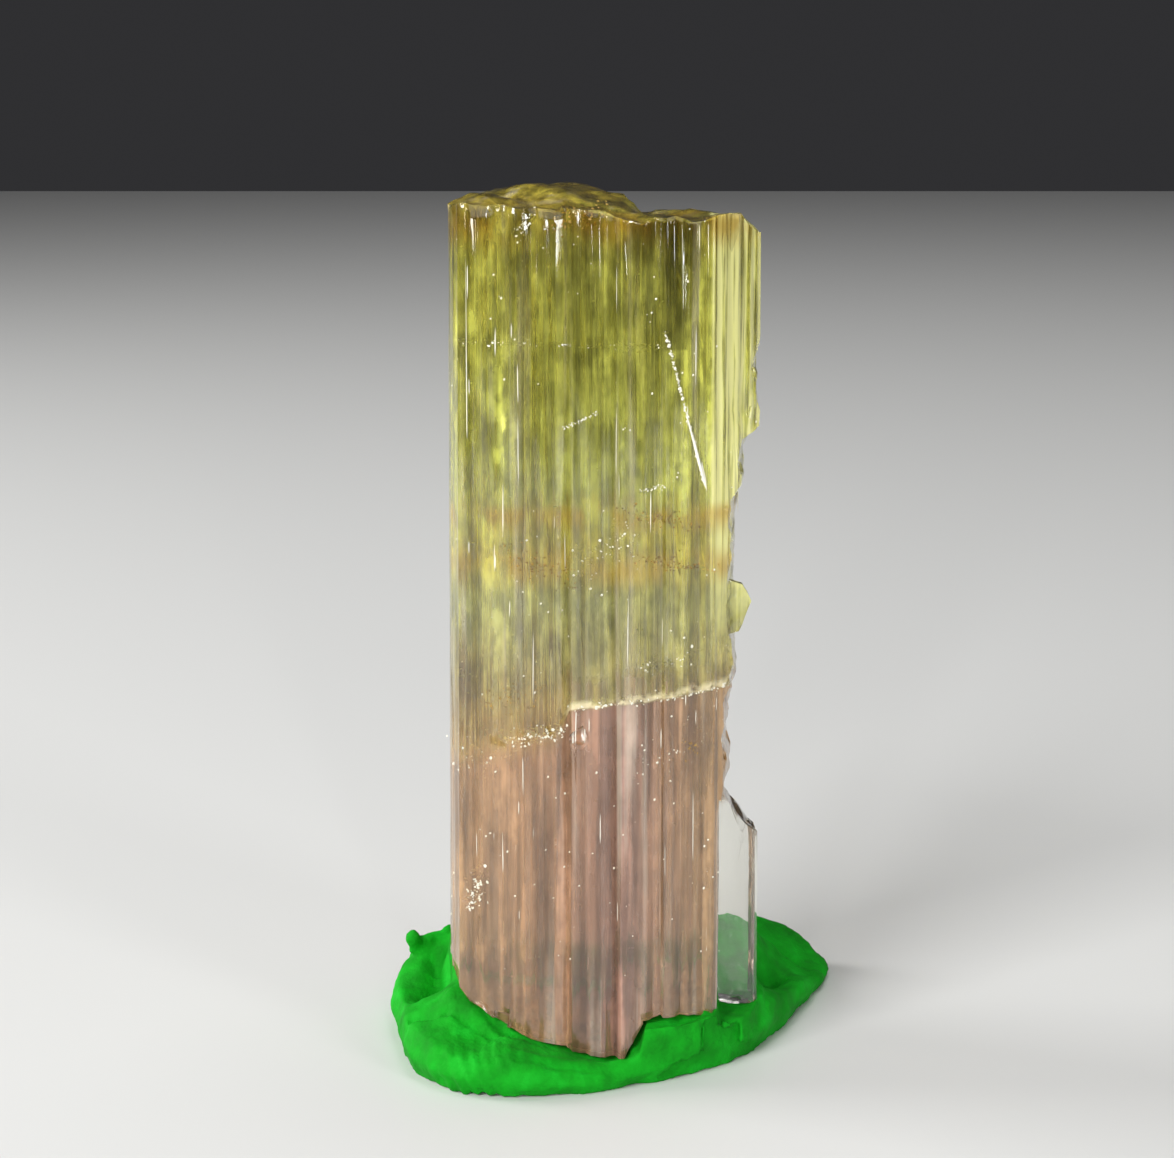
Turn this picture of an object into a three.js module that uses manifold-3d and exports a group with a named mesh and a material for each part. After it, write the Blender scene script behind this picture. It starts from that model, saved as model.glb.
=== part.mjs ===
// A bicolour tourmaline crystal, yellow-green above and pink below, standing in a pad of soft green putty.
// Millimetres, +Z up, seen from the front along +Y. The origin is under the middle of the part, on the
// surface that it stands on.

import * as THREE from "three";
import { ConvexGeometry } from "three/addons/geometries/ConvexGeometry.js";
import { mergeVertices } from "three/addons/utils/BufferGeometryUtils.js";
import Module from "manifold-3d";

const wasm = await Module();
wasm.setup();

const { lerp, smoothstep, degToRad } = THREE.MathUtils;

// Driving dimensions of the crystal
const CRYSTAL_WIDTH = 10.8; // between the left and right edges of the whole prism
const CRYSTAL_DEPTH = 7.6; // from the broad front face to the blunt back edge
const TOP_HEIGHT = 31; // highest point of the broken top
const TIP_HEIGHT = 0.5; // lowest point of the broken base
const LEAN_BACK = degToRad(3);
const FLARE = 0.025; // how much wider the prism is at its foot than at its top, as a share

// Driving dimensions of the putty
const SOCKET_GAP = 0.3; // between the crystal and the putty pressed round it
const PUTTY_EDGE_BULGE = 0.25; // how far the pad's side swells out above its foot

// The fine ridges that run up every prism face
const STRIA_NARROW = 0.2;
const STRIA_WIDE = 0.9;
const STRIA_DEPTH = 0.1; // groove depth, as a share of the ridge's width
const CREST_TO_GROOVE = 0.6; // where the groove lies across a ridge, from crest to next crest
const FACE_BOW = 0.035; // how far a face swells at its middle, as a share of its width

// Corners of the rounded triangular prism, seen from above and going round from the front left,
// as shares of the width and of the depth.
const PRISM_CORNERS = [
  [-0.46, -0.37],
  [0.19, -0.45],
  [0.345, -0.33],
  [0.5, -0.06],
  [0.455, 0.2],
  [0.13, 0.53],
  [-0.12, 0.55],
  [-0.44, 0.2],
  [-0.5, -0.1],
];

const FRONT_FACES = 2; // how many of the prism's faces, counted from the front left, look to the front

// Deep grooves down the front, where crystals lying side by side have grown into one.
const FRONT_GROOVES = [
  { x: -3.75, depth: 0.2, width: 0.14 },
  { x: -1.45, depth: 0.42, width: 0.18 },
  { x: 0.35, depth: 0.2, width: 0.14 },
  { x: 1.75, depth: 0.3, width: 0.16 },
];

// Heights of the broken base, the colour change and the broken top along the front, as [x, height].
const BASE_ABOVE_TIP = [
  [-5.4, 2.85],
  [-5.25, 2.6],
  [-4.72, 1.95],
  [-3.14, 0.9],
  [-1.55, 0.45],
  [-0.13, 0],
  [0.58, 0.07],
  [1.1, 0.5],
  [1.28, 1.4],
  [1.99, 1.55],
  [3.85, 1.4],
  [4.05, 0.75],
  [5.4, 0.85],
];
const COLOUR_CHANGE = [
  [-5.4, 11.4],
  [-1.7, 12.25],
  [-1.2, 13.05],
  [1.25, 13.35],
  [5.4, 13.85],
];
const TOP_BELOW_PEAK = [
  [-5.4, 0.75],
  [-4.9, 0.55],
  [-4.2, 0.75],
  [-1, 0.85],
  [1, 1.05],
  [1.3, 1.2],
  [4.7, 1.1],
  [5.2, 1.4],
  [5.4, 1.9],
];
// How far the top rises from its front edge to its back.
const TOP_RISE = [
  [-5.4, 0],
  [-4.3, 0.45],
  [-1.7, 0.8],
  [0.2, 0.6],
  [1, 0.3],
  [1.3, 0.05],
  [5.4, 0.05],
];
const BASE_RISE = 0.1; // slope of the base towards the back
const LEDGE_DEPTH = 0.05; // the front is set back this much under the colour change
const LEDGE_START = -1.3; // and only to the right of this
const LEDGE_HEIGHT = 0.1; // half the height of the ledge's slope

// Broken surfaces: the unevenness of their lumps and of their small facets, and the facets along each way.
const BREAK_LUMPS = 0.16;
const BREAK_FACETS = 0.2;
const END_CELLS = [24, 15];
const SCAR_CELLS = [14, 44];

// The prism reached further than its broken ends.
const UNBROKEN_FOOT = -1;
const UNBROKEN_HEAD = TOP_HEIGHT + 1;
// Rows of points up the crystal: shares of the way from foot to colour change, and from there to the top.
const ROWS_BELOW = [0, 0.3, 0.52, 0.76];
const ROWS_ABOVE = [0.16, 0.34, 0.52, 0.7, 0.87, 1];

// The scar where the right-hand edge has broken away, seen from the front, as [height, x].
const SCAR = [
  [7.9, 5.6],
  [8.1, 5.36],
  [8.54, 4.92],
  [9.09, 4.56],
  [9.5, 4.27],
  [10.7, 4.46],
  [11.6, 4.3],
  [13.4, 4.44],
  [13.7, 4.62],
  [14.6, 4.62],
  [15.1, 4.5],
  [17.2, 4.48],
  [20.2, 4.55],
  [20.75, 4.9],
  [21.65, 4.82],
  [22.3, 4.96],
  [22.6, 5.5],
  [23.7, 5.4],
  [24.8, 5.2],
  [25.9, 5.6],
];
const SCAR_TURN = degToRad(-6);
const SCAR_RELIEF = 0.2;

// The thin clear blade left standing at the foot of the scar, and the splinter half way up it.
const BLADE = { left: 4.0, front: -0.7, back: 0.6, top: 9.6 };
const SPLINTER = [
  [4.2, 15.3],
  [4.75, 15.4],
  [5.17, 16.5],
  [4.85, 17.1],
  [4.2, 17.3],
];
const SPLINTER_FRONT = -1.1;
const SPLINTER_THICKNESS = 0.4;

// Small chips along the sharp edges, as the middle of each [x, y, z] and its size.
const CHIPS = [
  { at: [5.1, -1.8, 30.3], size: 1.0 },
  { at: [5.6, 0.1, 29.9], size: 0.75 },
  { at: [-5.3, -2.0, 30.8], size: 0.55 },
  { at: [-3.1, -3.3, 30.6], size: 0.4 },
  { at: [0.9, -3.8, 30.4], size: 0.42 },
  { at: [2.9, -3.2, 30.4], size: 0.36 },
  { at: [5.4, -0.7, 24.6], size: 0.42 },
  { at: [5.25, -1.1, 23.1], size: 0.38 },
  { at: [5.0, -1.4, 21.2], size: 0.4 },
  { at: [4.6, -1.9, 18.5], size: 0.34 },
  { at: [4.5, -2.0, 14.1], size: 0.36 },
  { at: [4.4, -2.1, 11.2], size: 0.34 },
  { at: [-0.9, -3.5, 12.2], size: 0.5 },
  { at: [1.2, -3.75, 2.1], size: 0.5 },
  { at: [-3.6, -3.2, 1.9], size: 0.45 },
];

// Outline of the putty pad on the surface, going round from the front left, as [x, y, height of its rim].
const PAD_RIM = [
  [-6.9, -2.4, 2.0],
  [-5.4, -4.5, 1.7],
  [-3.6, -5.15, 1.45],
  [-1.5, -4.9, 1.05],
  [0.6, -4.2, 0.95],
  [2.8, -3.3, 1.7],
  [4.9, -1.6, 1.8],
  [6.4, 0.9, 1.75],
  [7.6, 3.6, 1.2],
  [8.6, 6.6, 0.7],
  [8.0, 8.0, 1.5],
  [6.2, 8.0, 2.5],
  [2.5, 7.6, 2.4],
  [-2, 6.9, 2.4],
  [-5.9, 5.7, 2.6],
  [-7.1, 4.2, 2.7],
  [-7.6, 1.9, 2.3],
  [-7.3, -0.4, 2.2],
];
const PAD_POINTS_AROUND = 72;
// How the pad's surface runs from its foot to its middle: share of the outline and share of the rim's height.
const PAD_SECTION = [
  { share: 1, lift: 0 },
  { share: 1, lift: 0.42, bulge: 1 },
  { share: 0.97, lift: 0.8, bulge: 0.7 },
  { share: 0.89, lift: 1 },
  { share: 0.8, lift: 0.95 },
  { share: 0.68, lift: 0.8 },
  { share: 0.5, lift: 0.7 },
  { share: 0.25, lift: 0.7 },
];
const BED_ABOVE_BASE = 0.22; // putty squeezed up round the foot of the crystal
const BED_OUTER_SHARE = 0.86; // from here inwards the pad follows the crystal's foot
const BED_INNER_SHARE = 0.66;
// Finger dents, as the middle of each [x, y], its radius and its depth.
const DENTS = [
  { at: [-6.0, 0.6], radius: 0.95, depth: 1.5 },
  { at: [-4.6, -3.6], radius: 0.8, depth: 0.35 },
  { at: [5.9, 2.7], radius: 0.9, depth: 0.7 },
  { at: [-5.4, -1.9], radius: 0.6, depth: -0.45 },
];
const LEAST_PUTTY = 0.25; // thinnest film of putty left under a dent

// A repeatable stream of numbers from 0 to 1.
function randomStream(seed) {
  let state = seed;
  return () => {
    state = (state + 0x6d2b79f5) | 0;
    let mixed = Math.imul(state ^ (state >>> 15), 1 | state);
    mixed = (mixed + Math.imul(mixed ^ (mixed >>> 7), 61 | mixed)) ^ mixed;
    return ((mixed ^ (mixed >>> 14)) >>> 0) / 2 ** 32;
  };
}

// The height at x on a line through [x, height] points.
function heightAt(points, x) {
  const next = points.findIndex(([px]) => px >= x);
  if (next <= 0) return next === 0 ? points[0][1] : points.at(-1)[1];
  const [xa, za] = points[next - 1];
  const [xb, zb] = points[next];
  return lerp(za, zb, (x - xa) / (xb - xa));
}

// Uneven lumps of a broken surface, from about -1 to 1.
function lumps(x, y) {
  return 0.6 * Math.sin(2.3 * x + 1.1 * y) + 0.4 * Math.sin(3.7 * y - 1.9 * x + 0.8);
}

// A fixed, scattered value from -0.5 to 0.5 for every place.
function scatter(x, y) {
  const wave = Math.sin(12.9898 * x + 78.233 * y) * 43758.5453;
  return wave - Math.floor(wave) - 0.5;
}

function breakRelief(x, y) {
  return BREAK_LUMPS * lumps(x, y) + BREAK_FACETS * scatter(x, y);
}

function baseHeight(x, y) {
  return TIP_HEIGHT + heightAt(BASE_ABOVE_TIP, x) + BASE_RISE * Math.max(0, y + CRYSTAL_DEPTH / 2);
}

function topHeight(x, y) {
  const back = smoothstep(y, -0.45 * CRYSTAL_DEPTH, 0.1 * CRYSTAL_DEPTH);
  return TOP_HEIGHT - heightAt(TOP_BELOW_PEAK, x) + heightAt(TOP_RISE, x) * back;
}

// A closed solid for cutting and joining, from any closed geometry.
function solidFrom(geometry) {
  const bare = geometry.clone();
  bare.deleteAttribute("normal");
  bare.deleteAttribute("uv");
  const merged = mergeVertices(bare, 1e-4);
  return new wasm.Manifold(
    new wasm.Mesh({
      numProp: 3,
      vertProperties: new Float32Array(merged.attributes.position.array),
      triVerts: new Uint32Array(merged.index.array),
    }),
  );
}

function geometryFrom(solid) {
  const { vertProperties, triVerts } = solid.getMesh();
  const geometry = new THREE.BufferGeometry();
  geometry.setAttribute("position", new THREE.BufferAttribute(vertProperties, 3));
  geometry.setIndex(new THREE.BufferAttribute(triVerts, 1));
  geometry.computeVertexNormals();
  return geometry;
}

// Closes a stack of rings, each with the same number of points, with a point at each end.
function stackedRings(rings, firstPole, lastPole) {
  const around = rings[0].length;
  const positions = [firstPole, ...rings.flat(), lastPole].flatMap((p) => [p.x, p.y, p.z]);
  const at = (row, i) => 1 + row * around + (i % around);
  const last = positions.length / 3 - 1;
  const triangles = [];
  for (let i = 0; i < around; i += 1) {
    triangles.push(0, at(0, i + 1), at(0, i));
    for (let row = 0; row < rings.length - 1; row += 1) {
      triangles.push(at(row, i), at(row, i + 1), at(row + 1, i));
      triangles.push(at(row, i + 1), at(row + 1, i + 1), at(row + 1, i));
    }
    triangles.push(last, at(rings.length - 1, i), at(rings.length - 1, i + 1));
  }
  const geometry = new THREE.BufferGeometry();
  geometry.setAttribute("position", new THREE.Float32BufferAttribute(positions, 3));
  geometry.setIndex(triangles);
  return geometry;
}

// The prism's outline as ridges and grooves: a point, the way out from it, and how far it stands out.
function striatedOutline() {
  const random = randomStream(11);
  const corners = PRISM_CORNERS.map(
    ([x, y]) => new THREE.Vector2(x * CRYSTAL_WIDTH, y * CRYSTAL_DEPTH),
  );
  return corners.flatMap((from, k) => {
    const along = corners[(k + 1) % corners.length].clone().sub(from);
    const length = along.length();
    const outward = new THREE.Vector2(along.y, -along.x).normalize();
    const points = [];
    const add = (reach, relief) => {
      const share = reach / length;
      const bow = FACE_BOW * length * 4 * share * (1 - share);
      const place = from.clone().addScaledVector(along, share).addScaledVector(outward, bow);
      points.push({ place, outward, relief, front: k < FRONT_FACES });
    };
    for (let reach = 0; reach < length - STRIA_NARROW; ) {
      const drawn = lerp(STRIA_NARROW, STRIA_WIDE, random() ** 1.5);
      const left = length - reach;
      const width = left - drawn < STRIA_NARROW ? left : drawn;
      add(reach, 0);
      add(reach + CREST_TO_GROOVE * width, -STRIA_DEPTH * width * (0.6 + 0.8 * random()));
      reach += width;
    }
    return points;
  });
}

function grooveDepth(x) {
  const depthOf = ({ x: middle, depth, width }) => depth * Math.exp(-(((x - middle) / width) ** 2));
  return FRONT_GROOVES.reduce((sum, groove) => sum + depthOf(groove), 0);
}

// The heights of one upright line of points, from below the broken base to above the broken top.
function rowHeights(x) {
  const change = heightAt(COLOUR_CHANGE, x);
  return [
    ...ROWS_BELOW.map((share) => lerp(UNBROKEN_FOOT, change - LEDGE_HEIGHT, share)),
    change - LEDGE_HEIGHT,
    change + LEDGE_HEIGHT,
    ...ROWS_ABOVE.map((share) => lerp(change + LEDGE_HEIGHT, UNBROKEN_HEAD, share)),
  ];
}

// The whole prism before it was broken. A mould of it is grown on every side and has no ridges.
function wholePrism(grow) {
  const outline = striatedOutline();
  const lines = outline.map(({ place, outward, relief, front }, i) =>
    rowHeights(place.x).map((height, row) => {
      const growthStep = 1 + 0.45 * Math.sin(1.7 * i + 2.1 * row);
      const setBack = row <= ROWS_BELOW.length && place.x > LEDGE_START ? LEDGE_DEPTH : 0;
      const frontDepth = front ? setBack + grooveDepth(place.x) : 0;
      const out = grow > 0 ? grow : relief * growthStep - frontDepth;
      const wide = 1 + FLARE * (1 - height / TOP_HEIGHT);
      const point = place.clone().multiplyScalar(wide).addScaledVector(outward, out);
      return new THREE.Vector3(point.x, point.y, height);
    }),
  );
  const rows = lines[0].map((_, row) => lines.map((line) => line[row]));
  const foot = new THREE.Vector3(0, 0, UNBROKEN_FOOT);
  const head = new THREE.Vector3(0, 0, UNBROKEN_HEAD);
  return solidFrom(stackedRings(rows, foot, head));
}

// A block between two corners, with its points moved to give it an uneven face.
function roughBlock(low, high, cells, move) {
  const size = high.map((value, i) => value - low[i]);
  const middle = high.map((value, i) => (value + low[i]) / 2);
  const block = new THREE.BoxGeometry(...size, ...cells).translate(...middle);
  const places = block.attributes.position;
  const point = new THREE.Vector3();
  for (let i = 0; i < places.count; i += 1) {
    move(point.fromBufferAttribute(places, i));
    places.setXYZ(i, point.x, point.y, point.z);
  }
  return block;
}

const REACH = 8; // how far the cutting blocks reach out from the crystal's axis

function topBreak() {
  const beyond = TOP_HEIGHT + 3;
  return roughBlock([-REACH, -REACH, 0], [REACH, REACH, 1], [...END_CELLS, 1], (p) => {
    p.z = p.z > 0.5 ? beyond : topHeight(p.x, p.y) + breakRelief(p.x, p.y);
  });
}

function baseBreak() {
  return roughBlock([-REACH, -REACH, 0], [REACH, REACH, 1], [...END_CELLS, 1], (p) => {
    p.z = p.z < 0.5 ? -3 : baseHeight(p.x, p.y) + breakRelief(p.x, p.y);
  });
}

function scarBreak() {
  const [foot, head] = [SCAR[0][0], SCAR.at(-1)[0]];
  const block = roughBlock([0, -REACH, foot], [1, REACH, head], [1, ...SCAR_CELLS], (p) => {
    p.x = p.x > 0.5 ? CRYSTAL_WIDTH : heightAt(SCAR, p.z) + SCAR_RELIEF * scatter(p.y, p.z);
  });
  return block.rotateZ(SCAR_TURN);
}

// A slab with the given outline in the upright XZ plane, between two places along Y.
function uprightSlab(outline, front, back) {
  const shape = new THREE.Shape(outline.map(([x, z]) => new THREE.Vector2(x, z)));
  const geometry = new THREE.ExtrudeGeometry(shape, { depth: back - front, bevelEnabled: false });
  geometry.rotateX(Math.PI / 2);
  return geometry.translate(0, back, 0);
}

function boxBetween(low, high) {
  return roughBlock(low, high, [1, 1, 1], () => {});
}

function chipCutters() {
  const random = randomStream(5);
  const spread = () => random() * 2 - 1;
  return CHIPS.map(({ at, size }) => {
    const corners = Array.from({ length: 12 }, () =>
      new THREE.Vector3(spread(), spread(), spread())
        .normalize()
        .multiplyScalar(size * (0.75 + 0.35 * random())),
    );
    return new ConvexGeometry(corners).translate(...at);
  });
}

function crystalGeometry() {
  const frontOfBlade = boxBetween([BLADE.left, -REACH, UNBROKEN_FOOT], [REACH, BLADE.front, BLADE.top]);
  const backOfBlade = boxBetween([BLADE.left, BLADE.back, UNBROKEN_FOOT], [REACH, REACH, BLADE.top]);
  const cutters = [topBreak(), baseBreak(), scarBreak(), frontOfBlade, backOfBlade, ...chipCutters()];
  const broken = cutters.reduce((solid, cutter) => solid.subtract(solidFrom(cutter)), wholePrism(0));
  const splinter = uprightSlab(SPLINTER, SPLINTER_FRONT, SPLINTER_FRONT + SPLINTER_THICKNESS);
  return geometryFrom(broken.add(solidFrom(splinter)));
}

function dentDepth(x, y) {
  return DENTS.reduce((sum, { at, radius, depth }) => {
    const away = Math.hypot(x - at[0], y - at[1]) / radius;
    return sum + depth * Math.exp(-(away ** 2));
  }, 0);
}

function puttyPad() {
  const rim = new THREE.CatmullRomCurve3(
    PAD_RIM.map((point) => new THREE.Vector3(...point)),
    true,
    "centripetal",
  );
  const outline = Array.from({ length: PAD_POINTS_AROUND }, (_, i) => rim.getPoint(i / PAD_POINTS_AROUND));
  const bed = (x, y) => baseHeight(x, y) + BED_ABOVE_BASE;
  const rings = PAD_SECTION.map(({ share, lift, bulge = 0 }) =>
    outline.map(({ x: rimX, y: rimY, z: rimHeight }) => {
      const swell = 1 + (bulge * PUTTY_EDGE_BULGE) / Math.hypot(rimX, rimY);
      const x = rimX * share * swell;
      const y = rimY * share * swell;
      const outer = smoothstep(share, BED_INNER_SHARE, BED_OUTER_SHARE);
      const height = lerp(bed(x, y), rimHeight * lift, outer) - dentDepth(x, y) * (lift > 0.5 ? 1 : 0);
      return new THREE.Vector3(x, y, lift === 0 ? 0 : Math.max(height, LEAST_PUTTY));
    }),
  );
  const geometry = stackedRings(rings, new THREE.Vector3(0, 0, 0), new THREE.Vector3(0, 0, bed(0, 0)));
  return solidFrom(geometry);
}

function puttyGeometry(crystalPlace) {
  const under = solidFrom(baseBreak().translate(0, 0, -SOCKET_GAP));
  const mould = geometryFrom(wholePrism(SOCKET_GAP).subtract(under)).applyMatrix4(crystalPlace);
  return geometryFrom(puttyPad().subtract(solidFrom(mould)));
}

const crystal = new THREE.Mesh(
  crystalGeometry(),
  new THREE.MeshStandardMaterial({
    color: 0xb3ad62,
    roughness: 0.12,
    metalness: 0,
    transparent: true,
    opacity: 0.7,
  }),
);
crystal.name = "crystal";
crystal.rotation.x = -LEAN_BACK;
crystal.updateMatrix();

const putty = new THREE.Mesh(
  puttyGeometry(crystal.matrix),
  new THREE.MeshStandardMaterial({ color: 0x14a82c, roughness: 0.75, metalness: 0 }),
);
putty.name = "putty_pad";

const specimen = new THREE.Group();
specimen.add(crystal, putty);

// The middle of the whole specimen stands over the origin.
const middle = new THREE.Box3().setFromObject(specimen, true).getCenter(new THREE.Vector3());
specimen.children.forEach((piece) => piece.position.set(-middle.x, -middle.y, 0));

export default specimen;
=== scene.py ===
# %% [markdown]
# # A bicolour tourmaline crystal in green putty
# The specimen is one prism of clear tourmaline, yellow-green above and pink below, broken at both ends and
# pressed into a dab of green putty so that it stands up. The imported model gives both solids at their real
# size, so it is loaded first and stays fixed while the looks are built round it.

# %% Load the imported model
import math
import random

import bpy
from mathutils import Euler, Matrix, Vector
from mathutils.bvhtree import BVHTree


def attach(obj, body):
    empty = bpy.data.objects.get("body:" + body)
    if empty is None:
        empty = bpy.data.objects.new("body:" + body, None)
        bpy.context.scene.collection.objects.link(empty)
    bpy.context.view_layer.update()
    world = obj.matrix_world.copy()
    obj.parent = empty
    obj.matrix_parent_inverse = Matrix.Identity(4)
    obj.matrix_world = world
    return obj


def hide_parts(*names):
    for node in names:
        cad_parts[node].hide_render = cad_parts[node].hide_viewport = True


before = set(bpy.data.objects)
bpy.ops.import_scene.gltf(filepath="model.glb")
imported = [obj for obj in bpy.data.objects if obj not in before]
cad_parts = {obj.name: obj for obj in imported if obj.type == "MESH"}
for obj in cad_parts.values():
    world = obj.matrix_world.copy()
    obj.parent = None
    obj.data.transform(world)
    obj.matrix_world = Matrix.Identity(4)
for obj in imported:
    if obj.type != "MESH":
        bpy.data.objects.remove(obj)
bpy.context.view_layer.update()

MM = 0.001

# %% [markdown]
# ## The camera
# The photograph was taken from a little above the crystal's top, close enough for the putty's far rim to
# sit visibly higher than its near one. A camera could be placed by eye, but the outlines give it: the
# crystal's edges, its two ends and the putty's rim together fix the distance, the height, the tilt and the
# focal length.

# %% Place the camera
CAMERA_PLACE_MM = (-1.085, -90.08, 36.23)
CAMERA_TILT_DOWN = 12.07
SENSOR_WIDTH_MM = 36.0
FOCAL_PIXELS = 2577.5
FRAME_WIDTH_PIXELS = 1174

camera_data = bpy.data.cameras.new("camera")
camera_data.sensor_fit = "HORIZONTAL"
camera_data.sensor_width = SENSOR_WIDTH_MM
camera_data.lens = FOCAL_PIXELS / FRAME_WIDTH_PIXELS * SENSOR_WIDTH_MM
camera_data.clip_start = 0.005
camera = bpy.data.objects.new("camera", camera_data)
camera.location = Vector(CAMERA_PLACE_MM) * MM
camera.rotation_euler = Euler((math.radians(90 - CAMERA_TILT_DOWN), 0, 0))
bpy.context.scene.collection.objects.link(camera)
bpy.context.scene.camera = camera
print("lens in mm:", round(camera_data.lens, 1))

# %% [markdown]
# ## The crystal's shape
# A tourmaline prism is a bundle of upright ridges. The solid has the main ridges, ledges and chips as flat
# facets, and a real one has finer ridges between them and shell-like ripples where it broke. Bump in the
# material could fake these, but light then bends as if the faces were flat. So a copy of the solid is
# merged and cut finer, its front gets the relief of the columns it grew from, and four noises push the mesh
# in and out: three drawn out along the prism on the grown faces, and a rounder one on the breaks.


# %% Copy the solid and cut it finer
def work_on(piece):
    """Selects this piece alone, in object mode."""
    if bpy.context.mode != "OBJECT":
        bpy.ops.object.mode_set(mode="OBJECT")
    bpy.ops.object.select_all(action="DESELECT")
    piece.select_set(True)
    bpy.context.view_layer.objects.active = piece


def merged_copy(node_name, piece_name):
    """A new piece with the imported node's mesh, its loose triangles merged."""
    piece = bpy.data.objects.new(piece_name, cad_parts[node_name].data.copy())
    bpy.context.scene.collection.objects.link(piece)
    work_on(piece)
    bpy.ops.object.mode_set(mode="EDIT")
    bpy.ops.mesh.select_all(action="SELECT")
    bpy.ops.mesh.remove_doubles(threshold=0.001 * MM)
    bpy.ops.object.mode_set(mode="OBJECT")
    return piece


CUTS_PER_EDGE = 3

crystal = merged_copy("crystal", "tourmaline_crystal")
bpy.ops.object.mode_set(mode="EDIT")
bpy.ops.mesh.select_all(action="SELECT")
bpy.ops.mesh.subdivide(number_cuts=CUTS_PER_EDGE)
bpy.ops.object.mode_set(mode="OBJECT")
print("crystal faces:", len(crystal.data.polygons))

# %% The crystal's own axes
# The prism leans back, and its own axes start at the foot of its middle line.
LEAN_BACK = 3.0
CRYSTAL_FOOT_MM = (-0.478, -1.461, 0.0)
to_model = Matrix.Translation(CRYSTAL_FOOT_MM) @ Matrix.Rotation(math.radians(-LEAN_BACK), 4, "X")
to_crystal = to_model.inverted()
print("foot of the crystal's middle line in mm:", CRYSTAL_FOOT_MM)


def on_line(points, x):
    """The height at x on a line through these points."""
    for (xa, za), (xb, zb) in zip(points, points[1:]):
        if x <= xb:
            return za + (zb - za) * max(0.0, (x - xa) / (xb - xa))
    return points[-1][1]


# %% Tell grown faces from broken ones
SCAR_LEFT_MM = 3.7
SCAR_HEIGHTS_MM = (8.4, 25.6)
SCAR_DEPTH_MM = (-3.2, 0.6)
BROKEN_TILT = 0.45


def broken_here(vertex):
    """True on the broken ends, which face up or down, and on the scar at the right-hand edge."""
    x, y, z = vertex.co / MM
    in_scar = (
        x > SCAR_LEFT_MM
        and SCAR_HEIGHTS_MM[0] < z < SCAR_HEIGHTS_MM[1]
        and SCAR_DEPTH_MM[0] < y < SCAR_DEPTH_MM[1]
    )
    return in_scar or abs(vertex.normal.z) > BROKEN_TILT


broken = [v.index for v in crystal.data.vertices if broken_here(v)]
grown = sorted(set(range(len(crystal.data.vertices))) - set(broken))
crystal.vertex_groups.new(name="broken").add(broken, 1.0, "REPLACE")
crystal.vertex_groups.new(name="grown").add(grown, 1.0, "REPLACE")
roughened = crystal.data.attributes.new("broken_share", "FLOAT", "POINT")
for index in broken:
    roughened.data[index].value = 1.0
print("points on broken faces:", len(broken), "on grown faces:", len(grown))


# %% Push the ridges and the ripples into the mesh
def push(piece, name, grain_mm, depth_mm, group="", stretch=(1, 1, 1), depth=2):
    """Displaces a piece by a noise of this grain, drawn out by stretch, and applies it."""
    grain = bpy.data.textures.new(name, "CLOUDS")
    grain.noise_scale = grain_mm * MM
    grain.noise_depth = depth
    space = bpy.data.objects.new(name, None)
    space.scale = stretch
    bpy.context.scene.collection.objects.link(space)
    bpy.context.view_layer.update()
    work_on(piece)
    displace = piece.modifiers.new(name, "DISPLACE")
    displace.texture = grain
    displace.texture_coords = "OBJECT"
    displace.texture_coords_object = space
    displace.strength = depth_mm * MM
    displace.mid_level = 0.5
    displace.vertex_group = group
    bpy.ops.object.modifier_apply(modifier=displace.name)
    bpy.data.objects.remove(space)


SHARP_EDGE_DEGREES = 18
# How far the front stands out at the edges of the columns it is grown from, as x and relief.
COLUMN_RELIEF_MM = [
    (-5.4, 0.0),
    (-4.72, 0.05),
    (-4.38, -0.1),
    (-3.29, 0.07),
    (-1.69, -0.1),
    (-0.97, 0.05),
    (0.0, -0.08),
    (1.35, 0.09),
    (2.03, -0.06),
    (2.81, 0.05),
    (3.12, -0.07),
    (3.66, 0.06),
    (4.65, -0.05),
    (5.4, 0.0),
]
# Normals are read before any point moves, because each move makes Blender work them all out again.
normals = [vertex.normal.copy() for vertex in crystal.data.vertices]
for index in grown:
    vertex = crystal.data.vertices[index]
    facing = max(0.0, -normals[index].y)
    relief = on_line(COLUMN_RELIEF_MM, (to_crystal @ (vertex.co / MM)).x)
    vertex.co += normals[index] * (relief * facing * MM)
push(crystal, "broad ridges", grain_mm=1.3, depth_mm=0.08, group="grown", stretch=(1, 1, 14))
push(crystal, "fine ridges", grain_mm=0.25, depth_mm=0.008, group="grown", stretch=(1, 1, 24))
push(crystal, "growth hillocks", grain_mm=0.5, depth_mm=0.02, group="grown", stretch=(1, 1, 3))
push(crystal, "shell ripples", grain_mm=0.6, depth_mm=0.14, group="broken", depth=3)
work_on(crystal)
bpy.ops.object.shade_smooth_by_angle(angle=math.radians(SHARP_EDGE_DEGREES))
print("crystal box in mm:", [round(v / MM, 2) for v in crystal.dimensions])

# %% Find places on the finished skin
OUTSIDE_MM = 20
crystal_skin = BVHTree.FromObject(crystal, bpy.context.evaluated_depsgraph_get())


def front_at(x, z):
    """How far forward the crystal's front is at this place, in millimetres along its own axes."""
    start = to_model @ Vector((x, -OUTSIDE_MM, z)) * MM
    hit = crystal_skin.ray_cast(start, to_model.to_3x3() @ Vector((0, 1, 0)))[0]
    return (to_crystal @ (hit / MM)).y if hit else 0.0


def skin_at(angle, z):
    """The place on the crystal's skin at this angle round its middle line, along its own axes."""
    inward = Vector((-math.cos(angle), -math.sin(angle), 0))
    start = to_model @ (Vector((0, 0, z)) - inward * OUTSIDE_MM) * MM
    hit = crystal_skin.ray_cast(start, to_model.to_3x3() @ inward)[0]
    return to_crystal @ (hit / MM) if hit else Vector((0, 0, z))


print("front half way up in mm:", round(front_at(0, 15), 2))

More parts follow.
